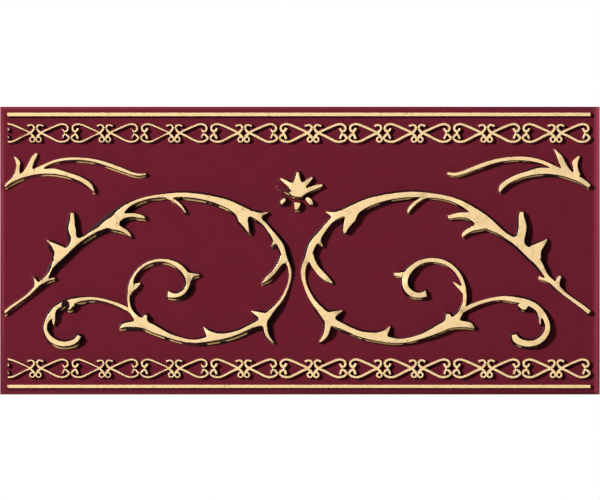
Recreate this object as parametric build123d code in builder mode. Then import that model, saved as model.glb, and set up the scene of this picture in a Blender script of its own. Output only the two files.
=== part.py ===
from build123d import *
import os
from math import ceil, floor

# Border tile: a pressed, glazed ceramic listello.
# A scrolling vine stands in relief on its face, between two bands of hearts and two plain rails.
# The tile lies on its back, face up. X runs along the border, Y across it, Z out of the face.
# The origin is at the middle of the bed, where the ribs of the back meet the floor.

# Driving dimensions of the body, in millimetres
tile_length = 250.0
tile_width = 120.0
body_thickness = 8.0
edge_round = 2.0

# Keying grooves pressed into the back, so that the adhesive holds
groove_width = 7.0
groove_depth = 0.8
groove_pitch = 14.0
groove_side_margin = 7.0
groove_end_margin = 9.0

# Heights of the relief above the field of the face
vine_relief = 1.8
band_relief = 1.0
rail_relief = 1.0

# Plain rails along both long edges, set in from the edges of the tile
rail_width = 1.5
rail_margin = 2.6
rail_left_margin = 3.2
rail_right_margin = 4.0

# Bands of hearts, one between each rail and the vine, counted from the right-hand end of the rails
heart_pitch = 14.45
heart_splice = 6
band_height = 10.0
top_band_margin = 11.1
bottom_band_margin = 10.9
band_shift = 0.15
ring_radius = 1.45
ring_eye = 0.7
ring_sides = 10
ring_eye_sides = 6
ring_place = (13.15, -2.7)

# The two scrolls of one heart, as (along the band, across it, width), from the inner stub to the far end
heart_upper_scroll = [
    (3.3, 2.0, 0.9), (3.0, 1.2, 0.9), (2.3, 0.5, 1.2), (1.3, 0.9, 1.1), (0.8, 1.9, 1.0),
    (1.3, 3.1, 1.0), (2.8, 3.75, 1.0), (4.6, 3.65, 1.0), (11.3, 0.6, 1.0), (13.3, -1.0, 1.1),
    (14.0, -2.2, 1.2),
]
heart_lower_scroll = [
    (3.2, -2.5, 0.9), (2.9, -1.4, 0.9), (2.3, -0.4, 1.2), (1.3, -0.9, 1.1), (0.4, -2.1, 1.1),
    (1.4, -3.3, 1.0), (3.3, -3.75, 1.0), (5.3, -3.55, 1.0), (9.3, -1.3, 1.0), (12.2, 0.0, 1.2),
    (13.4, 0.9, 1.0), (14.0, 2.0, 1.0), (13.6, 3.1, 1.0), (12.5, 3.5, 0.9), (11.1, 2.8, 1.0),
]

# The vine is drawn for the right half of a tile of this size, and stretched to the tile that is made.
# Each stem and leaf is (from the mirror line, above the middle of the tile, width of its top).
# The left half is its mirror image, pressed a little lower and further out.
drawn_length = 250.0
drawn_width = 120.0
right_vine_place = (-1.0, 0.0)
left_vine_place = (-1.4, -0.35)
palmette_place = (-1.0, 0.0)
facet_length = 2.0
main_stem = [
    (121.6, -25.8, 1.7), (116.0, -21.5, 1.5), (110.6, -17.5, 1.5), (106.4, -13.4, 2.0), (103.5, -10.5, 1.7),
    (101.6, -7.0, 2.2), (98.8, -3.4, 3.2), (95.0, 0.2, 3.2), (91.4, 3.3, 2.7), (87.2, 5.9, 2.0),
    (82.8, 9.0, 3.0), (78.0, 12.2, 4.8), (73.0, 16.6, 3.0), (68.0, 19.8, 2.1), (62.0, 22.0, 1.7),
    (56.0, 22.9, 1.9), (48.0, 23.35, 2.3), (41.0, 22.8, 2.4), (35.0, 21.7, 2.7), (29.0, 19.8, 3.4),
    (23.5, 17.3, 3.6), (18.5, 15.3, 2.6), (14.6, 12.9, 1.8), (10.4, 8.0, 2.1), (8.0, 4.8, 2.6),
    (5.9, 1.8, 2.7), (4.4, -3.0, 2.4), (2.8, -6.2, 1.7), (2.3, -9.0, 1.9), (2.6, -12.2, 1.5),
    (3.8, -16.0, 1.5), (5.8, -20.0, 1.8), (8.4, -23.4, 2.2), (11.2, -26.5, 3.2), (13.6, -29.2, 3.6),
    (16.8, -30.7, 2.7), (20.5, -32.4, 2.3), (26.0, -34.7, 2.4), (32.0, -35.9, 3.0), (37.0, -36.9, 2.6),
    (42.0, -37.65, 1.8), (48.0, -36.8, 1.9), (54.0, -34.8, 2.2), (60.0, -32.0, 3.4), (65.0, -29.2, 3.0),
    (67.7, -26.3, 2.0), (69.2, -23.2, 1.7), (69.7, -19.5, 1.5), (69.2, -15.0, 1.6), (67.6, -10.6, 1.6),
    (64.8, -7.1, 1.6), (61.0, -4.8, 1.7), (56.5, -3.9, 1.7), (51.5, -4.7, 1.7), (47.5, -7.3, 2.2),
    (45.0, -10.9, 2.4), (44.9, -14.8, 2.2), (47.0, -17.6, 2.4), (50.3, -18.7, 2.1), (53.6, -17.8, 2.7),
]
lower_tendril = [
    (69.0, -24.9, 1.6), (71.5, -23.5, 1.6), (75.0, -22.0, 1.5), (80.0, -20.5, 1.4), (85.0, -19.8, 1.7),
    (90.0, -20.3, 2.2), (95.0, -21.4, 2.4), (99.0, -23.2, 2.4), (102.0, -26.3, 2.3), (103.9, -29.8, 2.0),
    (104.2, -32.8, 2.1), (102.9, -35.6, 2.2), (100.0, -38.0, 2.3), (96.5, -38.8, 2.4), (93.0, -38.2, 2.7),
    (90.6, -36.7, 2.6), (90.2, -35.0, 2.0),
]
sprig_tendril = [
    (62.4, 32.2, 1.0), (64.5, 31.7, 1.3), (67.0, 31.9, 1.4), (71.0, 33.3, 1.5), (76.0, 35.2, 1.7),
    (81.0, 36.9, 1.6), (87.0, 38.1, 1.5), (93.0, 38.35, 1.6), (99.0, 37.7, 1.6), (104.0, 36.0, 1.5),
    (109.0, 33.6, 1.7), (113.5, 31.9, 1.8),
]
sprig_branch = [
    (84.0, 24.5, 0.8), (85.0, 26.6, 1.9), (87.5, 28.7, 1.9), (91.5, 30.7, 2.0), (96.0, 32.1, 2.0),
    (101.0, 33.2, 2.7), (106.0, 33.0, 2.5), (111.0, 32.3, 2.8), (115.5, 30.6, 2.4), (119.0, 28.7, 2.0),
    (121.6, 26.7, 1.5),
]

# Leaves and thorns, from the tip to the base inside the stem
leaves = [
    [(109.4, -10.6, 1.2), (108.3, -12.8, 1.6), (108.4, -15.4, 1.6)],
    [(100.4, -11.3, 1.3), (102.6, -11.9, 1.1), (105.4, -13.0, 1.4)],
    [
        (104.0, 4.9, 0.4), (102.5, 3.3, 1.7), (101.0, 2.0, 3.1), (99.6, 0.8, 4.3), (98.6, -0.5, 6.6),
        (98.0, -1.9, 7.4),
    ],
    [
        (93.3, 16.1, 1.4), (93.2, 14.0, 2.2), (93.7, 10.5, 3.3), (93.3, 7.0, 3.3), (92.6, 4.5, 3.6),
        (92.2, 2.8, 4.6),
    ],
    [(62.7, 13.8, 1.3), (64.0, 14.2, 1.7), (68.0, 14.9, 2.0), (71.5, 14.5, 2.7), (75.0, 12.8, 4.0)],
    [(68.5, 5.9, 0.7), (69.6, 7.2, 1.6), (72.0, 8.8, 1.7), (74.5, 9.8, 2.6), (78.0, 11.0, 3.6)],
    [(45.9, 15.8, 0.8), (47.0, 17.8, 1.2), (48.8, 19.7, 1.3), (51.2, 21.4, 1.2), (53.5, 22.6, 1.2)],
    [(19.5, 7.4, 1.1), (19.9, 9.0, 1.9), (20.7, 11.0, 2.9), (21.9, 13.4, 4.6), (23.4, 16.0, 5.8)],
    [(12.0, 16.1, 0.4), (13.6, 15.3, 1.3), (16.0, 14.9, 2.4), (18.5, 15.6, 2.6)],
    [(10.5, 1.7, 0.4), (9.5, 2.9, 1.2), (8.3, 4.6, 2.4)],
    [
        (14.5, -13.5, 0.4), (12.7, -12.2, 1.8), (10.8, -10.6, 2.5), (8.2, -7.8, 2.4), (6.4, -5.0, 2.5),
        (5.3, -1.8, 2.6),
    ],
    [(18.8, -24.9, 0.4), (17.0, -25.7, 1.3), (15.0, -26.6, 2.6), (12.5, -27.6, 3.6)],
    [(9.2, -38.1, 0.5), (10.8, -36.5, 1.5), (12.2, -34.0, 2.2), (12.6, -31.5, 2.4), (12.8, -29.5, 2.6)],
    [(38.5, -31.5, 0.4), (37.5, -33.2, 1.4), (36.2, -34.8, 2.8), (34.5, -36.0, 3.0)],
    [(62.7, -26.4, 1.6), (62.7, -28.0, 2.1), (62.8, -30.5, 3.0)],
    [(73.5, -32.3, 0.6), (72.2, -31.1, 2.2), (69.5, -30.7, 2.5), (66.5, -30.4, 3.0), (63.0, -31.0, 3.0)],
    [(65.0, -13.2, 0.4), (66.2, -14.3, 1.2), (67.9, -15.6, 1.5), (69.2, -17.6, 1.4)],
    [(40.2, -9.8, 1.0), (42.0, -10.0, 1.5), (44.2, -10.2, 2.6), (45.4, -10.5, 2.2)],
    [(94.8, -24.6, 1.6), (94.4, -23.4, 3.3), (93.4, -21.6, 4.2)],
    [(101.0, -30.8, 0.4), (101.0, -29.0, 1.0), (100.9, -27.0, 1.4), (100.2, -24.8, 1.6)],
    [(106.9, 42.2, 0.4), (107.8, 40.9, 1.0), (108.7, 39.8, 1.9), (110.0, 37.0, 2.5), (112.0, 33.6, 2.8)],
    [(117.4, 39.3, 0.5), (116.1, 37.9, 1.7), (115.3, 36.1, 2.5), (115.7, 33.8, 2.2), (116.8, 31.0, 2.2)],
]

# Petals and sepals of the palmette between the two halves of the vine, from the tip to the base
petals = [
    [(0.2, 32.7, 1.4), (0.2, 30.5, 1.8), (0.0, 28.0, 3.6), (0.0, 25.0, 5.0)],
    [(6.2, 30.5, 0.8), (4.6, 29.0, 1.6), (2.6, 27.3, 2.2), (0.6, 25.2, 3.0)],
    [(10.4, 27.2, 0.9), (8.5, 26.8, 1.5), (5.4, 25.6, 1.8), (2.0, 24.6, 3.0)],
    [(-7.0, 29.9, 0.8), (-5.2, 28.7, 1.5), (-2.9, 27.1, 2.1), (-0.6, 25.2, 3.0)],
    [(-8.6, 26.3, 0.8), (-6.6, 25.9, 1.3), (-4.0, 25.0, 1.6), (-1.6, 24.2, 2.6)],
    [(0.3, 22.0, 2.6), (0.3, 23.0, 5.4), (0.2, 25.0, 7.4), (0.1, 27.0, 6.2)],
]
sepals = [
    [(3.6, 21.9, 1.0), (4.6, 21.1, 2.2), (5.6, 19.9, 2.0), (6.1, 19.1, 0.9)],
    [(-4.6, 21.6, 1.2), (-5.3, 20.8, 2.4), (-6.2, 19.9, 2.2), (-6.9, 19.2, 1.0)],
    [(0.0, 20.0, 2.6), (-0.1, 18.4, 2.5), (-0.2, 16.7, 1.8)],
]


def sides(path):
    """Points of both sides of a stem: its path set off by half its width to the left and to the right."""
    spots = [Vector(x, y) for x, y, width in path]
    spans = [(end - start).normalized() for start, end in zip(spots, spots[1:])]
    left_side = []
    right_side = []
    for spot, before, after, (_, _, width) in zip(spots, spans[:1] + spans, spans + spans[-1:], path):
        across = (before + after).normalized().rotate(Axis.Z, 90) * (width / 2)
        left_side.append(spot + across)
        right_side.append(spot - across)
    return left_side, right_side


def stroke(left_side, right_side):
    """Draws the face between two sides."""
    with BuildLine() as outline:
        Polyline(*left_side)
        Polyline(*right_side)
        Line(left_side[0], right_side[0])
        Line(left_side[-1], right_side[-1])
    make_face(outline.edges())


def faceted(side):
    """Points along the smooth curve through a side, about a facet apart."""
    curve = Spline(*side, mode=Mode.PRIVATE)
    count = max(len(side) - 1, round(curve.length / facet_length))
    return [curve @ (step / count) for step in range(count + 1)]


def vine_stroke(path):
    """Draws one stem or leaf of the vine."""
    along = tile_length / drawn_length
    across = tile_width / drawn_width
    stretched = [(x * along, y * across, width) for x, y, width in path]
    left_side, right_side = sides(stretched)
    stroke(faceted(left_side), faceted(right_side))


field = Plane.XY.offset(body_thickness)
rail_length = tile_length - rail_left_margin - rail_right_margin
rail_shift = (rail_left_margin - rail_right_margin) / 2
rail_offset = tile_width / 2 - rail_margin - rail_width / 2
top_band_offset = tile_width / 2 - top_band_margin
bottom_band_offset = bottom_band_margin - tile_width / 2

# One heart with its lobes on the left and its hook and ring on the right
with BuildSketch() as heart:
    stroke(*sides(heart_upper_scroll))
    stroke(*sides(heart_lower_scroll))
    with Locations(ring_place):
        RegularPolygon(ring_radius, ring_sides)
        RegularPolygon(ring_eye, ring_eye_sides, mode=Mode.SUBTRACT)

# A band is the same heart again and again, turned about where two hooks or two lobes meet.
# At the splice two neighbours face the same way, and the left-hand end is cut off with the rails.
with BuildSketch() as band:
    for cell in range(ceil(rail_length / heart_pitch)):
        cell_end = rail_shift + rail_length / 2 - heart_pitch * cell
        turned = (cell + (cell >= heart_splice)) % 2 == 0
        if turned:
            add(heart.sketch.mirror(Plane.YZ).moved(Location((cell_end, 0))))
        else:
            add(heart.sketch.moved(Location((cell_end - heart_pitch, 0))))
    with Locations((rail_shift, 0)):
        Rectangle(rail_length, band_height, mode=Mode.INTERSECT)

# The right half of the vine with its leaves, and the palmette
with BuildSketch() as vine:
    for stem in (main_stem, lower_tendril, sprig_tendril, sprig_branch):
        vine_stroke(stem)
    for leaf in leaves:
        vine_stroke(leaf)
with BuildSketch() as palmette:
    for petal in petals + sepals:
        vine_stroke(petal)

with BuildPart() as border_tile:
    # The body, with soft glazed edges round the face
    with BuildSketch():
        Rectangle(tile_length, tile_width)
    extrude(amount=body_thickness)
    fillet(border_tile.faces().sort_by(Axis.Z)[-1].edges(), edge_round)

    # The keying grooves of the back
    groove_room = tile_width - 2 * groove_side_margin + groove_pitch - groove_width
    with BuildSketch():
        with GridLocations(0, groove_pitch, 1, floor(groove_room / groove_pitch)):
            Rectangle(tile_length - 2 * groove_end_margin, groove_width)
    extrude(amount=groove_depth, mode=Mode.SUBTRACT)

    # The relief, standing on the field
    with BuildSketch(field):
        with Locations((rail_shift, rail_offset), (rail_shift, -rail_offset)):
            Rectangle(rail_length, rail_width)
    extrude(amount=rail_relief, clean=False)
    with BuildSketch(field):
        with Locations((band_shift, top_band_offset), (band_shift, bottom_band_offset)):
            add(band.sketch)
    extrude(amount=band_relief, clean=False)
    with BuildSketch(field):
        with Locations(right_vine_place):
            add(vine.sketch)
        with Locations(left_vine_place):
            add(vine.sketch.mirror(Plane.YZ))
        with Locations(palmette_place):
            add(palmette.sketch)
    extrude(amount=vine_relief, clean=False)

border_tile.part.label = "border_tile"
os.makedirs("parts", exist_ok=True)
export_step(border_tile.part, "parts/border_tile.step")
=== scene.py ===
# %% [markdown]
# # A gilded border tile
# The tile is one slab of pressed clay. Rails, hearts and a vine stand up from its face, a burgundy glaze
# covers the face and its edges, and gold lies on the tops of the relief. We start from the imported model,
# which gives the size of everything, and keep its box.

# %% Load the frame
from itertools import product
from math import cos, floor, pi, radians, sin

import bmesh
import bpy
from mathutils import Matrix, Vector
from mathutils.kdtree import KDTree


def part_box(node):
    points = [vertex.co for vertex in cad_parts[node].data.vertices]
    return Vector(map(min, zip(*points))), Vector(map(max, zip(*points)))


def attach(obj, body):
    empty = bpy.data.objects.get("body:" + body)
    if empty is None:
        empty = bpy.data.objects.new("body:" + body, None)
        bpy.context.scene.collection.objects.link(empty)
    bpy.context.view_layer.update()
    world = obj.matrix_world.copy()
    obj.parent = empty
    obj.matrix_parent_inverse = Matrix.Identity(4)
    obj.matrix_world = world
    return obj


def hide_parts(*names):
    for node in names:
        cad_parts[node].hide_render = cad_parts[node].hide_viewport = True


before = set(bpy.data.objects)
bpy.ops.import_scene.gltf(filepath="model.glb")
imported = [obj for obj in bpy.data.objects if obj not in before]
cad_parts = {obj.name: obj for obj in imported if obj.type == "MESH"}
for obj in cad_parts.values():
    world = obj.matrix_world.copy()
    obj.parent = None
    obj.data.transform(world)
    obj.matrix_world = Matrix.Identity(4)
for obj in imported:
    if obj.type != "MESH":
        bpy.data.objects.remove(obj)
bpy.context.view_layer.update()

tile_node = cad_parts["border_tile"]
low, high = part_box("border_tile")
tile_length = high.x - low.x
tile_width = high.y - low.y
print("Tile, in millimetres:", [round(1000 * side, 2) for side in high - low])


# %% [markdown]
# ## Reading the levels of the face
# Everything flat that looks up is the field, the top of the bands and rails, or the top of the vine. The
# heights could be typed in, but then they would go wrong when the tile changes. So they are read from the
# model: the heights of all faces that look straight up, sorted.

# %% Heights of the field, the bands and the vine
MM = 0.001
FLAT = 0.9999
levels = sorted({round(face.center.z, 5) for face in tile_node.data.polygons if face.normal.z > FLAT})
field_level, band_level = levels[-3:-1]
print("Field, bands and vine, in millimetres:", [round(1000 * level, 2) for level in levels[-3:]])


# %% [markdown]
# ## The body
# On the real tile the body is a slab with soft glazed edges and keying grooves in its back. It could be
# modelled again from a cube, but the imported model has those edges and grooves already, so a copy of it is
# merged, its carved face is taken off in edit mode, and the hole is closed with one plain face. That face is
# cut into squares, so that the union later on works on small faces.

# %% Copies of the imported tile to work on
MERGE_WITHIN = 0.001 * MM


def work_on(piece):
    """Makes a piece the only selected object and the active one."""
    bpy.ops.object.select_all(action="DESELECT")
    piece.select_set(True)
    bpy.context.view_layer.objects.active = piece


def merged_copy(name):
    """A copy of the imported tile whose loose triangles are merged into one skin."""
    piece = bpy.data.objects.new(name, tile_node.data.copy())
    bpy.context.scene.collection.objects.link(piece)
    work_on(piece)
    bpy.ops.object.mode_set(mode="EDIT")
    bpy.ops.mesh.select_all(action="SELECT")
    bpy.ops.mesh.remove_doubles(threshold=MERGE_WITHIN)
    bpy.ops.mesh.select_all(action="DESELECT")
    bpy.ops.object.mode_set(mode="OBJECT")
    return piece


def select_faces(piece, wanted):
    """Selects the faces of a piece for which wanted is true, in edit mode."""
    bpy.ops.object.mode_set(mode="EDIT")
    bpy.ops.mesh.select_mode(type="FACE")
    skin = bmesh.from_edit_mesh(piece.data)
    for face in skin.faces:
        face.select_set(wanted(face))
    bmesh.update_edit_mesh(piece.data)


# %% Slab with a plain face
HAIR = 0.02 * MM
FACE_SLACK = HAIR / 4
FIELD_CELL = 6 * MM

slab = merged_copy("border_tile_glazed")
select_faces(slab, lambda face: min(vert.co.z for vert in face.verts) > field_level - FACE_SLACK)
bpy.ops.mesh.delete(type="FACE")
bpy.ops.mesh.select_mode(type="EDGE")
bpy.ops.mesh.select_non_manifold()
bpy.ops.mesh.edge_face_add()
for axis, side in ((Vector((1, 0, 0)), tile_length), (Vector((0, 1, 0)), tile_width)):
    cells = floor(side / 2 / FIELD_CELL)
    for step in range(-cells, cells + 1):
        select_faces(slab, lambda face: face.normal.z > FLAT)
        bpy.ops.mesh.bisect(plane_co=axis * step * FIELD_CELL, plane_no=axis)
bpy.ops.object.mode_set(mode="OBJECT")
print("Slab faces:", len(slab.data.polygons))


# %% [markdown]
# ## The outlines of the relief
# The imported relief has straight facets, which would show as corners in a raking light. Pressed clay under
# glaze has none, apart from the ends of leaves and stems, which are cut crisp. A subdivision surface would
# round the flat tops and those ends away, so only the outlines are smoothed: the tops are cut down to their
# edges, each edge is halved, and the points that turn gently are pulled towards their neighbours. In a few
# corners the glaze has melted the step between a leaf and its stem away. They are smoothed much longer.

# %% Tops cut down to their outlines
def keep_outlines(piece):
    """Leaves only the outer and inner outlines of the flat tops, as bare edges."""
    skin = bmesh.new()
    skin.from_mesh(piece.data)
    raised = [face for face in skin.faces if face.calc_center_median().z > band_level - HAIR]
    tops = {face for face in raised if face.normal.z > FLAT}
    bmesh.ops.delete(skin, geom=[face for face in skin.faces if face not in tops], context="FACES")
    inner = [edge for edge in skin.edges if not edge.is_boundary]
    bmesh.ops.delete(skin, geom=inner, context="EDGES_FACES")
    bmesh.ops.delete(skin, geom=skin.faces[:], context="FACES_ONLY")
    skin.to_mesh(piece.data)
    skin.free()


relief = merged_copy("relief")
keep_outlines(relief)
print("Outline points:", len(relief.data.vertices))


# %% Smoother outlines, filled again
SHARP_TURN = radians(62)
MELTING_ROUNDS = 30
# Place and radius of each, in millimetres.
MELTED_CORNERS = [
    ((-27.0, 15.2), 3.2), ((24.3, 15.4), 3.2), ((-35.7, -34.9), 3.0), ((32.2, -34.6), 3.0),
    ((112.4, 33.9), 2.0), ((-114.8, 34.1), 2.0), ((-119.3, 31.1), 1.8), ((-108.4, 42.0), 1.3),
]


def turn_at(vert):
    """The angle by which an outline turns at a point."""
    there, back = [edge.other_vert(vert).co - vert.co for edge in vert.link_edges]
    return pi - there.angle(back)


bpy.ops.object.mode_set(mode="EDIT")
bpy.ops.mesh.select_all(action="SELECT")
bpy.ops.mesh.subdivide(number_cuts=1)
bpy.ops.mesh.select_all(action="DESELECT")
bpy.ops.mesh.select_mode(type="VERT")
outlines = bmesh.from_edit_mesh(relief.data)
for vert in outlines.verts:
    vert.select_set(len(vert.link_edges) == 2 and turn_at(vert) < SHARP_TURN)
bmesh.update_edit_mesh(relief.data)
bpy.ops.mesh.vertices_smooth(factor=0.5, repeat=1)
for vert in outlines.verts:
    spot = vert.co.xy / MM
    vert.select_set(any((spot - Vector(place)).length < radius for place, radius in MELTED_CORNERS))
bmesh.update_edit_mesh(relief.data)
bpy.ops.mesh.vertices_smooth(factor=0.5, repeat=MELTING_ROUNDS)
bpy.ops.mesh.select_all(action="SELECT")
bpy.ops.mesh.fill(use_beauty=True)
bpy.ops.mesh.select_all(action="SELECT")
bpy.ops.mesh.normals_make_consistent(inside=False)
bpy.ops.object.mode_set(mode="OBJECT")
print("Smoothed outline points:", len(relief.data.vertices))


# %% [markdown]
# ## The walls
# A pressed relief leaves its die, so its walls lean outwards, and the glaze rounds the upper edge and runs
# into a small hollow at the foot. A bevel would do this on a simple block, but it trips over the hundreds of
# short edges here. So one section of the wall is written down, as steps out and down from the outline, and
# swept round all outlines, as a moulding plane would. Walls of the vine that look towards the lower long
# edge of the tile lean more than the others. Three values ride along for the finish: how far out a point
# lies, how far it looks towards that lower edge, and how dark its wall is made, for glaze that pools there
# and as painted shade, more at high walls.

# %% Section of the wall, in millimetres out and down
WALL_SECTION = [
    (-0.2, 0.0), (-0.06, 0.02), (0.03, 0.09), (0.09, 0.22), (0.13, 0.36), (0.36, 1.38),
    (0.5, 1.62), (0.7, 1.73), (0.95, 1.785), (1.3, 1.815), (0.0, 2.4),
]
WALL_HEIGHT = 1.8
WALL_START = WALL_SECTION[0][0]
WALL_END = WALL_SECTION[-2][0]
ROOM_LOOKED_FOR = 2.4 * MM
ROOM_USED = 0.9
UP = Vector((0, 0, 1))
FINISH_VALUES = ("reach", "below", "pooled_and_shaded")


def way_out(vert):
    """The mitred way out of the outlines at a point, long enough to move both its edges by one."""
    ways = []
    for edge in vert.link_edges:
        if edge.is_boundary:
            along = (edge.other_vert(vert).co - vert.co).normalized()
            across = along.cross(UP)
            inside = edge.link_faces[0].calc_center_median() - vert.co
            ways.append(across if across.dot(inside) < 0 else -across)
    bisector = ways[0] + ways[1]
    return bisector * 2 / max(bisector.length_squared, 1.0)


def room_at(spot, way, crowd):
    """How far an outline can move before it meets others: the radius of the ball that fits there."""
    ahead = way.normalized()
    room = ROOM_LOOKED_FOR
    for place, _, _ in crowd.find_range(spot, ROOM_LOOKED_FOR):
        gap = place - spot
        forward = gap.dot(ahead)
        if forward > 0:
            room = min(room, gap.length_squared / (2 * forward))
    return room / MM


# %% Hollow corners of the vine
CROTCH_TURN = radians(20)
CROTCH_ROUNDS = 4


def neighbours(rim):
    """The points beside each point of the outlines."""
    beside = {}
    for edge in rim:
        for vert in edge.verts:
            beside.setdefault(vert, []).append(edge.other_vert(vert))
    return beside


def fill_crotches(beside):
    """Pulls the hollow corners between stems and leaves outwards, as glaze fills them."""
    for _ in range(CROTCH_ROUNDS):
        pulls = {}
        for vert, (one, other) in beside.items():
            pull = (one.co + other.co) / 2 - vert.co
            turn = pi - (one.co - vert.co).angle(other.co - vert.co)
            if vert.co.z > band_level + HAIR and turn > CROTCH_TURN and pull.dot(way_out(vert)) > 0:
                pulls[vert] = pull / 2
        for vert, pull in pulls.items():
            vert.co += pull


# %% [markdown]
# The relief was modelled by hand before its die was cut. Thin stems, the tips of leaves and some sprigs are
# lower than the broad places of the vine, and its left half is cut finer than the right, mostly on the sides
# that look to the lower right. The hearts grow thinner to the left, and so does the lower rail. A sculptor
# would pare all this by eye. Here most of it follows from the outlines, from the half width at each point
# and the way it looks. A short list of cuts pares single leaves of the left half, and the stubs and knots of
# the hearts. A cut below zero adds clay instead, as at the buds of the hearts.

# %% How much is trimmed, in millimetres
VINE_TRIM = 0.08
LEFT_TRIM = 1.0
LEFT_TRIM_SHARE = 0.9
LEFT_TRIM_WAY = Vector((0.85, -0.53, 0))
BAND_TRIM = 0.17
BAND_TRIM_WAY = Vector((0.5, -0.87, 0))
HEARTS_WITHIN = 55
HEART_TRIM = 0.12
HEART_TRIM_RUN = 60
LOWER_RAIL_TRIM = 0.35
LOWER_RAIL_RUN = (100, 20)
TRIM_LIMIT = 0.85
TIP_SHARE = 0.4
FULL_HALF_WIDTH = 1.25
# Place, radius and share taken off the height.
LOW_PLACES = [((-110, 34), 18, 0.5), ((113, 37), 9, 0.35), ((-5, -14), 12, 0.4), ((4, -14), 12, 0.4)]
# Place, radius and depth.
CUTS = [
    ((-93.0, 8.3), 2.0, -1.2), ((-91.8, 12.0), 5.0, -0.8), ((-99.0, 12.0), 5.0, 1.0),
    ((-81.0, 15.2), 4.5, 1.3), ((-109.3, 38.6), 2.6, -0.6), ((-123.3, 26.0), 2.2, 0.6),
    ((-123.0, -26.7), 2.2, 0.6), ((-101.0, -28.5), 3.2, -1.0), ((-68.8, -15.0), 3.4, -0.9),
    ((-104.5, -7.9), 4.0, 0.6), ((-106.5, 2.5), 4.5, 1.2), ((-111.4, -11.0), 2.5, 0.8),
    ((-103.2, -0.5), 3.5, 0.8), ((-96.6, 5.6), 4.0, 0.9), ((-84.6, 11.3), 4.5, 1.2),
    ((-78.0, 16.1), 3.5, 0.8), ((-13.4, 15.9), 1.6, -0.5),
]
HEART_PITCH = 28.9
BAND_LINES = (48.9, -49.1)
# First place along the band, how many, distance from its middle line, radius and depth.
STUBS = (-98.9, 4, 1.8, 1.5, 0.28)
KNOTS = (-114.7, 3, 1.1, 2.0, 0.4)
BUDS = (-92.8, 5, 1.5, 1.3, -0.25)
for first_x, count, across, radius, depth in (STUBS, KNOTS, BUDS):
    for number, line_y, side in product(range(count), BAND_LINES, (1, -1)):
        CUTS.append(((first_x + number * HEART_PITCH, line_y + side * across), radius, depth))
print("Cuts:", len(CUTS))


# %% Trims and heights at a point of the outlines
def evened(values, beside, rounds):
    """Values at the points of the outlines, evened out along them."""
    for _ in range(rounds):
        values = {vert: values[vert] / 2 + sum(values[next_to] for next_to in beside[vert]) / 4
                  for vert in values}
    return values


def near(spot, place, radius):
    """One at a place on the face, falling to nothing at a radius around it."""
    away = (spot.xy / MM - Vector(place)).length / radius
    return max(0.0, 1 - away ** 2) ** 2


def trim_at(spot, way, room):
    """How far a point of the outlines moves inwards, in millimetres."""
    facing = way.normalized()
    if spot.z < band_level + HAIR:
        trim = BAND_TRIM * max(0.0, facing.dot(BAND_TRIM_WAY))
        if abs(spot.y) < HEARTS_WITHIN * MM:
            trim += HEART_TRIM * min(1.0, max(0.0, -spot.x / (HEART_TRIM_RUN * MM)))
        elif spot.y < 0:
            start, end = LOWER_RAIL_RUN
            share = min(1.0, max(0.0, (start - spot.x / MM) / (start - end)))
            trim += LOWER_RAIL_TRIM * share * max(0.0, -facing.y)
    else:
        trim = VINE_TRIM
        if spot.x < 0:
            trim += min(LEFT_TRIM * max(0.0, facing.dot(LEFT_TRIM_WAY)), LEFT_TRIM_SHARE * room)
    for place, radius, depth in CUTS:
        trim += depth * near(spot, place, radius)
    return trim


def rise_at(spot, half_width):
    """The height of a top above the field: the vine is lower where it is thin."""
    full = spot.z - field_level
    if spot.z < band_level + HAIR:
        return full
    full *= min(1.0, TIP_SHARE + (1 - TIP_SHARE) * half_width / FULL_HALF_WIDTH)
    for place, radius, lowering in LOW_PLACES:
        full *= 1 - lowering * near(spot, place, radius)
    return full


# %% Walls swept round the outlines
HALF_WIDTH_ROUNDS = 6
TRIM_ROUNDS = 2
# Walls of low relief keep this share of the darkening, which is pooled glaze and painted shade.
THIN_POOLING_AND_SHADE = 0.25
RIGHT_RUNS = 0.92
LOWER_LEAN = 0.5


def place_walls(skin, beside):
    """Makes the points of the walls, ring by ring, with the values that the finish needs."""
    reach, below, pooled_and_shaded = [skin.verts.layers.float[name] for name in FINISH_VALUES]
    out = {vert: way_out(vert) for vert in beside}
    spots = {vert: vert.co.copy() for vert in beside}
    crowd = KDTree(len(spots))
    for number, spot in enumerate(spots.values()):
        crowd.insert(spot, number)
    crowd.balance()
    ahead = {vert: room_at(spot, out[vert], crowd) for vert, spot in spots.items()}
    behind = {vert: room_at(spot, -out[vert], crowd) for vert, spot in spots.items()}
    half = evened(behind, beside, HALF_WIDTH_ROUNDS)
    trims = {vert: trim_at(spot, out[vert], min(half[vert], ahead[vert])) for vert, spot in spots.items()}
    trims = {vert: min(trim, TRIM_LIMIT * half[vert]) for vert, trim in trims.items()}
    trims = evened(trims, beside, TRIM_ROUNDS)
    rings = [{} for step in WALL_SECTION]
    for vert, spot in spots.items():
        on_vine = spot.z > band_level + HAIR
        looks_down = -out[vert].normalized().y * on_vine
        lean = 1 + LOWER_LEAN * max(0.0, looks_down) ** 2
        spot.z = field_level + rise_at(spot, half[vert])
        share = (spot.z - field_level) / (WALL_HEIGHT * MM)
        for ring, (step_out, step_down) in zip(rings, WALL_SECTION):
            point = skin.verts.new() if ring is not rings[0] else vert
            room = ahead[vert] / WALL_END if step_out > 0 else behind[vert] / -WALL_START
            slope = step_out * min(share * lean, room * ROOM_USED)
            slope -= trims[vert] * max(0.0, 1 - step_down / WALL_HEIGHT)
            point.co = spot + out[vert] * slope * MM - UP * step_down * share * MM
            point[reach] = step_out
            point[below] = looks_down * (1.0 if spot.x < 0 else RIGHT_RUNS)
            point[pooled_and_shaded] = THIN_POOLING_AND_SHADE + (1 - THIN_POOLING_AND_SHADE) * max(0.0, share * 2 - 1) ** 2
            ring[vert] = point
    return rings


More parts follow.
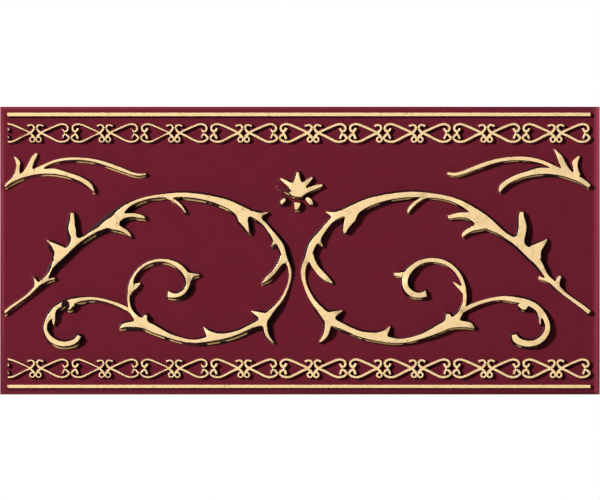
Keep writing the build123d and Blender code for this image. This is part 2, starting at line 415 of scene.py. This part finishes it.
def raise_walls(piece):
    """Sweeps the wall section round all outlines and closes the relief underneath."""
    skin = bmesh.new()
    skin.from_mesh(piece.data)
    for name in FINISH_VALUES:
        skin.verts.layers.float.new(name)
    tops = skin.faces[:]
    rim = [edge for edge in skin.edges if edge.is_boundary]
    beside = neighbours(rim)
    fill_crotches(beside)
    rings = place_walls(skin, beside)
    for edge in rim:
        loop = edge.link_loops[0]
        start = loop.vert
        end = loop.link_loop_next.vert
        for upper, lower in zip(rings, rings[1:]):
            skin.faces.new((upper[end], upper[start], lower[start], lower[end]))
    for face in tops:
        skin.faces.new([rings[-1][vert] for vert in reversed(face.verts)])
    skin.to_mesh(piece.data)
    skin.free()


raise_walls(relief)
print("Relief triangles:", sum(len(face.vertices) - 2 for face in relief.data.polygons))


# %% [markdown]
# ## One piece of clay
# Slab and relief are one pressing, so they are joined by a union, which also removes what is buried. Shading
# is smooth over the rounded walls, while the field stays flat, because a mirror shows every bent normal.

# %% Union of slab and relief
SOFT_ANGLE = radians(50)
NEARLY_FLAT = 0.995

for name in FINISH_VALUES:
    slab.data.attributes.new(name, "FLOAT", "POINT")
work_on(slab)
union = slab.modifiers.new("press", "BOOLEAN")
union.operation = "UNION"
union.solver = "MANIFOLD"
union.object = relief
bpy.ops.object.modifier_apply(modifier="press")
bpy.data.objects.remove(relief)
bpy.ops.object.mode_set(mode="EDIT")
bpy.ops.mesh.select_all(action="SELECT")
bpy.ops.mesh.quads_convert_to_tris(quad_method="BEAUTY", ngon_method="BEAUTY")
bpy.ops.object.mode_set(mode="OBJECT")
bpy.ops.object.shade_smooth_by_angle(angle=SOFT_ANGLE)
for face in slab.data.polygons:
    if abs(face.normal.z) > NEARLY_FLAT and abs(face.center.z - field_level) < HAIR:
        face.use_smooth = False
soften = slab.modifiers.new("soften", "WEIGHTED_NORMAL")
soften.keep_sharp = True
soften.weight = 80
bpy.ops.object.modifier_apply(modifier="soften")
print("Tile triangles:", sum(len(face.vertices) - 2 for face in slab.data.polygons))


# %% [markdown]
# The union makes new points where the walls meet the field, and those have no values yet. A point there also
# belongs to two finishes: to the foot of a wall, where the glaze is thick and dull, and to the field, where
# it is thin and glossy. So how far out a point lies is kept for each corner of each face. Points above the
# field keep what the walls gave them. The others get the value of the foot on faces that lean or reach up,
# and the value of the walls' end on the flat field and below it.

# %% Values at the foot of the walls
FOOT_REACH = 1.1

reaches = [value.value for value in slab.data.attributes["reach"].data]
slab.data.attributes.remove(slab.data.attributes["reach"])
corners = slab.data.attributes.new("reach", "FLOAT", "CORNER").data
for face in slab.data.polygons:
    raised = [slab.data.vertices[number].co.z > field_level + HAIR for number in face.vertices]
    leaning = abs(face.normal.z) < NEARLY_FLAT and face.center.z > field_level - HAIR
    low_reach = FOOT_REACH if any(raised) or leaning else WALL_END
    for corner, number, up in zip(face.loop_indices, face.vertices, raised):
        corners[corner].value = reaches[number] if up else low_reach

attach(slab, "root")
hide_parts("border_tile")
print("Values kept:", [value.name for value in slab.data.attributes])


# %% [markdown]
# ## Colours and nodes
# Colours are written as sRGB hex values, as a colour picker shows them, and turned to linear values by one
# function. One more function adds a node with its settings and links.

# %% Helpers for materials
def hex_colour(text):
    """Linear colour of an sRGB hex value."""
    channels = [int(text[place:place + 2], 16) / 255 for place in (0, 2, 4)]
    linear = [value / 12.92 if value <= 0.04045 else ((value + 0.055) / 1.055) ** 2.4 for value in channels]
    return (*linear, 1.0)


def new_material(name):
    """An empty material, with its nodes and its shader."""
    material = bpy.data.materials.new(name)
    material.use_nodes = True
    return material, material.node_tree, material.node_tree.nodes["Principled BSDF"]


def add_node(tree, kind, settings=None, inputs=None, output=0):
    """Adds a node, sets its properties, sets or links its inputs, and gives one of its outputs."""
    node = tree.nodes.new(kind)
    for name, value in (settings or {}).items():
        setattr(node, name, value)
    for name, value in (inputs or {}).items():
        if isinstance(value, bpy.types.NodeSocket):
            tree.links.new(value, node.inputs[name])
        else:
            node.inputs[name].default_value = value
    return node.outputs[output]


def pattern_scale(size):
    """Scale of a texture whose features are about so many millimetres across."""
    return 1 / (size * MM)


# %% [markdown]
# ## The gilded burgundy glaze
# The finish is a fired coat: a glossy, deep burgundy glaze with a pale gold lustre brushed over the tops of
# the relief. An image could be painted for it, but the values that the walls carry say already where the
# gold belongs. It ends at the rounded upper edge, a little unevenly, as a brush leaves it.

# %% Where the gold lies
BRUSH_WOBBLE_SIZE = 1.8
BRUSH_WOBBLE = 0.2
GOLD_EDGE = (0.06, 0.13)
BARE_EDGE = (0.85, 1.1)
# Place, half length and half width in millimetres, and turn in degrees.
BARE_PLACES = [((-97.6, -22.8), (1.8, 2.3), 0), ((-7.9, 25.9), (4.6, 1.5), -16)]


def gilded_tops(tree, place, reach):
    """Gold on the tops, up to their edge with some brush wobble, and not in the places left bare."""
    wobble = add_node(tree, "ShaderNodeTexNoise", {},
                      {"Vector": place, "Scale": pattern_scale(BRUSH_WOBBLE_SIZE), "Detail": 2.0})
    edge = add_node(tree, "ShaderNodeMath", {"operation": "MULTIPLY_ADD"},
                    {0: wobble, 1: BRUSH_WOBBLE, 2: reach})
    gold = add_node(tree, "ShaderNodeMapRange", {"interpolation_type": "SMOOTHSTEP"},
                    {"Value": edge, "From Min": GOLD_EDGE[0], "From Max": GOLD_EDGE[1],
                     "To Min": 1.0, "To Max": 0.0})
    for (x, y), (half_length, half_width), turn in BARE_PLACES:
        spot = add_node(tree, "ShaderNodeMapping", {"vector_type": "TEXTURE"},
                        {"Vector": place, "Location": (x * MM, y * MM, 0), "Rotation": (0, 0, radians(turn)),
                         "Scale": (half_length * MM, half_width * MM, 1)})
        away = add_node(tree, "ShaderNodeVectorMath", {"operation": "LENGTH"}, {0: spot}, "Value")
        covered = add_node(tree, "ShaderNodeMapRange", {"interpolation_type": "SMOOTHSTEP"},
                           {"Value": away, "From Min": BARE_EDGE[0], "From Max": BARE_EDGE[1]})
        gold = add_node(tree, "ShaderNodeMath", {"operation": "MULTIPLY"}, {0: gold, 1: covered})
    return gold


# %% Fine cracks in the gold
CRACK_CELL = 8.0
CRACK_EDGE = (0.008, 0.02)
CRACK_DRIFT_SIZE = 4.0
CRACK_DRIFT = 2.0
CRACK_PATCH = 5.0
CRACK_PATCH_EDGE = (0.63, 0.7)


def gold_cracks(tree, place):
    """A few hair cracks: the edges of large cells, shown only in patches. Drawn wider than real ones."""
    drift = add_node(tree, "ShaderNodeTexNoise", {},
                     {"Vector": place, "Scale": pattern_scale(CRACK_DRIFT_SIZE), "Detail": 3.0}, "Color")
    bent = add_node(tree, "ShaderNodeVectorMath", {"operation": "MULTIPLY_ADD"},
                    {0: drift, 1: (CRACK_DRIFT * MM, CRACK_DRIFT * MM, 0), 2: place})
    cells = add_node(tree, "ShaderNodeTexVoronoi",
                     {"feature": "DISTANCE_TO_EDGE", "voronoi_dimensions": "2D"},
                     {"Vector": bent, "Scale": pattern_scale(CRACK_CELL)})
    lines = add_node(tree, "ShaderNodeMapRange", {"interpolation_type": "SMOOTHSTEP"},
                     {"Value": cells, "From Min": CRACK_EDGE[0], "From Max": CRACK_EDGE[1],
                      "To Min": 1.0, "To Max": 0.0})
    patches = add_node(tree, "ShaderNodeTexNoise", {},
                       {"Vector": place, "Scale": pattern_scale(CRACK_PATCH)})
    shown = add_node(tree, "ShaderNodeMapRange", {"interpolation_type": "SMOOTHSTEP"},
                     {"Value": patches, "From Min": CRACK_PATCH_EDGE[0], "From Max": CRACK_PATCH_EDGE[1]})
    return add_node(tree, "ShaderNodeMath", {"operation": "MULTIPLY"}, {0: lines, 1: shown})


# %% Gold that ran down the walls
RUN_INNER_EDGE = (0.24, 0.3)
RUN_OUTER_EDGE = (0.48, 0.6)
RUN_FACING = (0.76, 0.93)
RUN_LENGTH = 6.0
RUN_BREAKS = (0.44, 0.52)


def gold_runs(tree, place, reach, below):
    """A broken line of gold near the foot of the walls that look towards the lower edge."""
    inner = add_node(tree, "ShaderNodeMapRange", {"interpolation_type": "SMOOTHSTEP"},
                     {"Value": reach, "From Min": RUN_INNER_EDGE[0], "From Max": RUN_INNER_EDGE[1]})
    outer = add_node(tree, "ShaderNodeMapRange", {"interpolation_type": "SMOOTHSTEP"},
                     {"Value": reach, "From Min": RUN_OUTER_EDGE[0], "From Max": RUN_OUTER_EDGE[1],
                      "To Min": 1.0, "To Max": 0.0})
    lower = add_node(tree, "ShaderNodeMapRange", {"interpolation_type": "SMOOTHSTEP"},
                     {"Value": below, "From Min": RUN_FACING[0], "From Max": RUN_FACING[1]})
    breaks = add_node(tree, "ShaderNodeTexNoise", {},
                      {"Vector": place, "Scale": pattern_scale(RUN_LENGTH), "Detail": 2.0})
    broken = add_node(tree, "ShaderNodeMapRange", {"interpolation_type": "SMOOTHSTEP"},
                      {"Value": breaks, "From Min": RUN_BREAKS[0], "From Max": RUN_BREAKS[1]})
    runs = inner
    for mask in (outer, lower, broken):
        runs = add_node(tree, "ShaderNodeMath", {"operation": "MULTIPLY"}, {0: runs, 1: mask})
    return runs


# %% [markdown]
# The glaze is darker where it lies thick on the walls, and is made nearly black there as painted shade.
# It is deep burgundy on the field, and lighter and pinker along the right-hand edge, as painted light on
# the rounding of that edge. Near all four edges it is wiped dull. Those bands are read from the place on
# the tile, with their real widths.

# %% Colour of the glaze
FIELD_GLAZE = "671D2B"
POOLED_GLAZE_AND_SHADE = "22070D"
# Painted light on the right-hand edge: its pink, the width of its band, and the height where it begins.
PAINTED_LIGHT_PINK = "C85069"
PAINTED_LIGHT_BAND = 3.7
PAINTED_LIGHT_ABOVE = 4.5
POOL_AND_SHADE_EDGE = (0.65, 1.25)
CLOUD_SIZE = 7.0
CLOUD_SHARE = 0.12


def painted_edge_light(tree, place):
    """Painted light on the rounded right-hand edge: nothing on the field, all of it at the edge."""
    spot = add_node(tree, "ShaderNodeSeparateXYZ", {}, {"Vector": place}).node
    band = add_node(tree, "ShaderNodeMapRange", {},
                    {"Value": spot.outputs["X"], "From Min": high.x - PAINTED_LIGHT_BAND * MM, "From Max": high.x})
    edge_light = add_node(tree, "ShaderNodeMath", {"operation": "POWER"}, {0: band, 1: 2.0})
    upper = add_node(tree, "ShaderNodeMapRange", {"interpolation_type": "SMOOTHSTEP"},
                     {"Value": spot.outputs["Z"], "From Min": PAINTED_LIGHT_ABOVE * MM, "From Max": field_level})
    return add_node(tree, "ShaderNodeMath", {"operation": "MULTIPLY"}, {0: edge_light, 1: upper})


def glaze_colour(tree, place, reach):
    """Burgundy, with pooled glaze and painted shade on the walls and painted light on the right edge."""
    depth = add_node(tree, "ShaderNodeAttribute", {"attribute_name": "pooled_and_shaded"}, output="Fac")
    pooled_and_shaded = add_node(tree, "ShaderNodeMapRange", {"interpolation_type": "SMOOTHSTEP"},
                      {"Value": reach, "From Min": POOL_AND_SHADE_EDGE[0], "From Max": POOL_AND_SHADE_EDGE[1],
                       "To Min": depth, "To Max": 0.0})
    clouds = add_node(tree, "ShaderNodeTexNoise", {},
                      {"Vector": place, "Scale": pattern_scale(CLOUD_SIZE), "Detail": 5.0, "Roughness": 0.6})
    cloudy = add_node(tree, "ShaderNodeMapRange", {},
                      {"Value": clouds, "To Min": 1 - CLOUD_SHARE, "To Max": 1 + CLOUD_SHARE})
    field = add_node(tree, "ShaderNodeVectorMath", {"operation": "SCALE"},
                     {0: hex_colour(FIELD_GLAZE)[:3], "Scale": cloudy})
    # The walls are darkened towards a near black: partly pooled glaze, partly painted shade.
    glaze = add_node(tree, "ShaderNodeMix", {"data_type": "RGBA"},
                     {0: pooled_and_shaded, 6: field, 7: hex_colour(POOLED_GLAZE_AND_SHADE)}, 2)
    # Painted light: the right-hand edge is mixed towards a light pink.
    return add_node(tree, "ShaderNodeMix", {"data_type": "RGBA"},
                    {0: painted_edge_light(tree, place), 6: glaze, 7: hex_colour(PAINTED_LIGHT_PINK)}, 2)


# %% Dull edges of the glaze
DRY_EDGE = 2.2


def dry_edges(tree, place):
    """Nothing on the face, one at the tile's edges, where the glaze is wiped thin and dull."""
    spot = add_node(tree, "ShaderNodeVectorMath", {"operation": "ABSOLUTE"}, {0: place})
    spot = add_node(tree, "ShaderNodeSeparateXYZ", {}, {"Vector": spot}).node
    dry = None
    for axis, edge in (("X", high.x), ("Y", high.y)):
        band = add_node(tree, "ShaderNodeMapRange", {"interpolation_type": "SMOOTHSTEP"},
                        {"Value": spot.outputs[axis], "From Min": edge - DRY_EDGE * MM,
                         "From Max": edge - DRY_EDGE / 2 * MM})
        dry = add_node(tree, "ShaderNodeMath", {"operation": "MAXIMUM"}, {0: dry, 1: band}) if dry else band
    return dry


# %% [markdown]
# The back and the lower part of the sides never see the glaze. There the fired clay is bare: pale, matt and
# gritty, up to the uneven line where the glaze stopped.

# %% Where the clay is bare
GLAZE_LINE = 3.4
GLAZE_LINE_WOBBLE = 2.2
GLAZE_LINE_SOFT = 0.1
DRIP_SIZE = 9.0


def bare_clay(tree, place):
    """All that lies lower than the uneven line of the glaze."""
    height = add_node(tree, "ShaderNodeSeparateXYZ", {}, {"Vector": place}, "Z")
    drips = add_node(tree, "ShaderNodeTexNoise", {},
                     {"Vector": place, "Scale": pattern_scale(DRIP_SIZE), "Detail": 3.0})
    line = add_node(tree, "ShaderNodeMapRange", {},
                    {"Value": drips, "From Min": 0.25, "From Max": 0.75,
                     "To Min": (GLAZE_LINE - GLAZE_LINE_WOBBLE / 2) * MM,
                     "To Max": (GLAZE_LINE + GLAZE_LINE_WOBBLE / 2) * MM})
    under = add_node(tree, "ShaderNodeMath", {"operation": "SUBTRACT"}, {0: line, 1: height})
    return add_node(tree, "ShaderNodeMapRange", {"interpolation_type": "SMOOTHSTEP"},
                    {"Value": under, "From Min": -GLAZE_LINE_SOFT * MM, "From Max": GLAZE_LINE_SOFT * MM})


# %% Colours of the gold and of the clay
GOLD = "FEDCA4"
WORN_GOLD = "E3BB7C"
RUN_GOLD = "F0C87E"
CRACK = "6E5535"
WEAR_SIZE = 3.0
WEAR_EDGE = (0.5, 0.8)
BISCUIT = "DCC2AC"
BISCUIT_GRIT = "BFA088"
GRIT_SIZE = 0.8


def gold_lustre(tree, place):
    """Pale gold, browner where it is worn, with fine cracks."""
    patina = add_node(tree, "ShaderNodeTexNoise", {},
                      {"Vector": place, "Scale": pattern_scale(WEAR_SIZE), "Detail": 4.0, "Roughness": 0.6})
    worn = add_node(tree, "ShaderNodeMapRange", {},
                    {"Value": patina, "From Min": WEAR_EDGE[0], "From Max": WEAR_EDGE[1]})
    lustre = add_node(tree, "ShaderNodeMix", {"data_type": "RGBA"},
                      {0: worn, 6: hex_colour(GOLD), 7: hex_colour(WORN_GOLD)}, 2)
    return add_node(tree, "ShaderNodeMix", {"data_type": "RGBA"},
                    {0: gold_cracks(tree, place), 6: lustre, 7: hex_colour(CRACK)}, 2)


def clay_grit(tree, place):
    """The fine grit of the fired clay, from nothing to one."""
    return add_node(tree, "ShaderNodeTexNoise", {},
                    {"Vector": place, "Scale": pattern_scale(GRIT_SIZE), "Detail": 4.0})


# %% [markdown]
# The coats differ in gloss as much as in colour. The glaze on the field is a mirror, the pooled glaze at the
# walls and the wiped edges are dull, the gold is satin and the clay is matt. Each is laid over the last one
# where its own mask says so.

# %% Roughness and gloss of the coats
FIELD_ROUGHNESS = 0.1
FOOT_ROUGHNESS = 0.5
DRY_ROUGHNESS = 0.6
RUN_ROUGHNESS = 0.5
GOLD_ROUGHNESS = 0.4
CLAY_ROUGHNESS = 0.85
FIELD_GLOSS = 0.5
FOOT_GLOSS = 0.12
DRY_GLOSS = 0.06
GOLD_GLOSS = 0.5


def coat_roughness(tree, reach, masks):
    """Roughness of the glaze, with the other coats over it in the order of their masks."""
    rough = add_node(tree, "ShaderNodeMapRange", {},
                     {"Value": reach, "From Min": FOOT_REACH, "From Max": WALL_END,
                      "To Min": FOOT_ROUGHNESS, "To Max": FIELD_ROUGHNESS})
    for mask, value in zip(masks, (DRY_ROUGHNESS, RUN_ROUGHNESS, GOLD_ROUGHNESS, CLAY_ROUGHNESS)):
        rough = add_node(tree, "ShaderNodeMix", {"data_type": "FLOAT"}, {0: mask, 2: rough, 3: value})
    return rough


def coat_gloss(tree, reach, masks):
    """Strength of the reflection on the glaze, on its dull edges and on the gold."""
    gloss = add_node(tree, "ShaderNodeMapRange", {},
                     {"Value": reach, "From Min": FOOT_REACH, "From Max": WALL_END,
                      "To Min": FOOT_GLOSS, "To Max": FIELD_GLOSS})
    for mask, value in zip(masks, (DRY_GLOSS, GOLD_GLOSS)):
        gloss = add_node(tree, "ShaderNodeMix", {"data_type": "FLOAT"}, {0: mask, 2: gloss, 3: value})
    return gloss


# %% The whole finish
GOLD_METAL = 0.15
RIPPLE_SIZE = 3.5
RIPPLE_DEPTH = 0.06
RIPPLE_STRENGTH = 0.35


def gilded_burgundy_glaze():
    """Burgundy glaze, pale gold lustre and bare biscuit on one pressing."""
    material, tree, shader = new_material("gilded_burgundy_glaze")
    place = add_node(tree, "ShaderNodeTexCoord", output="Object")
    reach = add_node(tree, "ShaderNodeAttribute", {"attribute_name": "reach"}, output="Fac")
    below = add_node(tree, "ShaderNodeAttribute", {"attribute_name": "below"}, output="Fac")
    gold = gilded_tops(tree, place, reach)
    runs = gold_runs(tree, place, reach, below)
    clay = bare_clay(tree, place)
    dry = dry_edges(tree, place)
    grit = clay_grit(tree, place)
    biscuit = add_node(tree, "ShaderNodeMix", {"data_type": "RGBA"},
                       {0: grit, 6: hex_colour(BISCUIT_GRIT), 7: hex_colour(BISCUIT)}, 2)
    colour = glaze_colour(tree, place, reach)
    for mask, coat in ((runs, hex_colour(RUN_GOLD)), (gold, gold_lustre(tree, place)), (clay, biscuit)):
        colour = add_node(tree, "ShaderNodeMix", {"data_type": "RGBA"}, {0: mask, 6: colour, 7: coat}, 2)
    metal = add_node(tree, "ShaderNodeMath", {"operation": "MULTIPLY"}, {0: gold, 1: GOLD_METAL})
    ripple = add_node(tree, "ShaderNodeTexNoise", {},
                      {"Vector": place, "Scale": pattern_scale(RIPPLE_SIZE), "Detail": 2.0})
    height = add_node(tree, "ShaderNodeMix", {"data_type": "FLOAT"}, {0: clay, 2: ripple, 3: grit})
    bump = add_node(tree, "ShaderNodeBump", {},
                    {"Height": height, "Strength": RIPPLE_STRENGTH, "Distance": RIPPLE_DEPTH * MM})
    tree.links.new(colour, shader.inputs["Base Color"])
    tree.links.new(coat_roughness(tree, reach, (dry, runs, gold, clay)), shader.inputs["Roughness"])
    tree.links.new(coat_gloss(tree, reach, (dry, gold)), shader.inputs["Specular IOR Level"])
    tree.links.new(metal, shader.inputs["Metallic"])
    tree.links.new(bump, shader.inputs["Normal"])
    return material


slab.data.materials.clear()
slab.data.materials.append(gilded_burgundy_glaze())
print("Materials:", [material.name for material in slab.data.materials])


# %% [markdown]
# ## Floor, light and camera
# The tile lies on a white table and is seen from straight above. A lamp not much larger than the tile stands
# low at the upper left, so that the relief throws its shadows to the right, and a wider, weaker one stands
# low in front of the tile. The ceiling of the room is dark, because a glossy glaze shows whatever is above
# it.

# %% White table
TABLE_SIZE = 12.0
TABLE_WHITE = "F2F2F2"
TABLE_ROUGHNESS = 0.9


def white_table():
    """A matt white that shows as plain white, without shadows, to the camera and in the glaze."""
    material, tree, shader = new_material("white_table")
    shader.inputs["Base Color"].default_value = hex_colour(TABLE_WHITE)
    shader.inputs["Roughness"].default_value = TABLE_ROUGHNESS
    path = add_node(tree, "ShaderNodeLightPath").node
    seen = add_node(tree, "ShaderNodeMath", {"operation": "MAXIMUM"},
                    {0: path.outputs["Is Camera Ray"], 1: path.outputs["Is Glossy Ray"]})
    seen = add_node(tree, "ShaderNodeMath", {"operation": "MAXIMUM"},
                    {0: seen, 1: path.outputs["Is Transmission Ray"]})
    glow = add_node(tree, "ShaderNodeEmission", {}, {"Color": (1, 1, 1, 1), "Strength": 1.0})
    mixed = add_node(tree, "ShaderNodeMixShader", {}, {0: seen, 1: shader.outputs["BSDF"], 2: glow})
    tree.links.new(mixed, tree.nodes["Material Output"].inputs["Surface"])
    return material


bpy.ops.object.select_all(action="DESELECT")
bpy.ops.mesh.primitive_plane_add(size=TABLE_SIZE, location=(0, 0, low.z))
table = bpy.context.active_object
table.name = "table"
bpy.ops.object.transform_apply(location=True, rotation=True, scale=True)
table.data.materials.append(white_table())
print("Table:", table.name)


# %% Lamps and room
WALL_LIGHT = 0.3
CEILING_LIGHT = 0.02
CEILING_EDGE = (0.3, 0.85)


def softbox(name, azimuth, elevation, distance, size, watts):
    """A square lamp that looks at the middle of the tile; azimuth is counted from the right-hand side."""
    turn = radians(azimuth)
    rise = radians(elevation)
    place = Vector((cos(turn) * cos(rise), sin(turn) * cos(rise), sin(rise))) * distance
    bpy.ops.object.light_add(type="AREA", location=place)
    lamp = bpy.context.active_object
    lamp.name = name
    lamp.data.size = size
    lamp.data.energy = watts
    lamp.rotation_euler = (-place).to_track_quat("-Z", "Y").to_euler()
    return lamp


softbox("key_softbox", azimuth=152, elevation=28, distance=4.0, size=0.4, watts=312)
softbox("front_softbox", azimuth=262, elevation=16, distance=4.0, size=1.6, watts=48)

world = bpy.data.worlds.new("dim_room")
bpy.context.scene.world = world
world.use_nodes = True
sky = world.node_tree
direction = add_node(sky, "ShaderNodeTexCoord", output="Generated")
height = add_node(sky, "ShaderNodeSeparateXYZ", {}, {"Vector": direction}, "Z")
ceiling = add_node(sky, "ShaderNodeMapRange", {"interpolation_type": "SMOOTHSTEP"},
                   {"Value": height, "From Min": CEILING_EDGE[0], "From Max": CEILING_EDGE[1],
                    "To Min": WALL_LIGHT, "To Max": CEILING_LIGHT})
sky.links.new(ceiling, sky.nodes["Background"].inputs["Strength"])
sky.nodes["Background"].inputs["Color"].default_value = (1, 1, 1, 1)


# %% Camera straight above
FRAME_WIDTH = 600
FRAME_HEIGHT = 500
TILE_IN_FRAME = 600.2
TILE_MIDDLE = (299.95, 250.6)
SENSOR = 36.0
LENS = 300.0
CLIP_END = 20.0

view_width = tile_length * FRAME_WIDTH / TILE_IN_FRAME
pixel = view_width / FRAME_WIDTH
bpy.ops.object.camera_add()
camera = bpy.context.active_object
camera.name = "camera"
camera.data.sensor_width = SENSOR
camera.data.lens = LENS
camera.data.clip_end = CLIP_END
distance = view_width * LENS / SENSOR
camera.location = (
    (FRAME_WIDTH / 2 - TILE_MIDDLE[0]) * pixel,
    (TILE_MIDDLE[1] - FRAME_HEIGHT / 2) * pixel,
    field_level + distance,
)
camera.rotation_euler = (0, 0, 0)
bpy.context.scene.camera = camera
bpy.context.scene.view_settings.view_transform = "Standard"
print("Camera, in metres:", [round(value, 4) for value in camera.location])
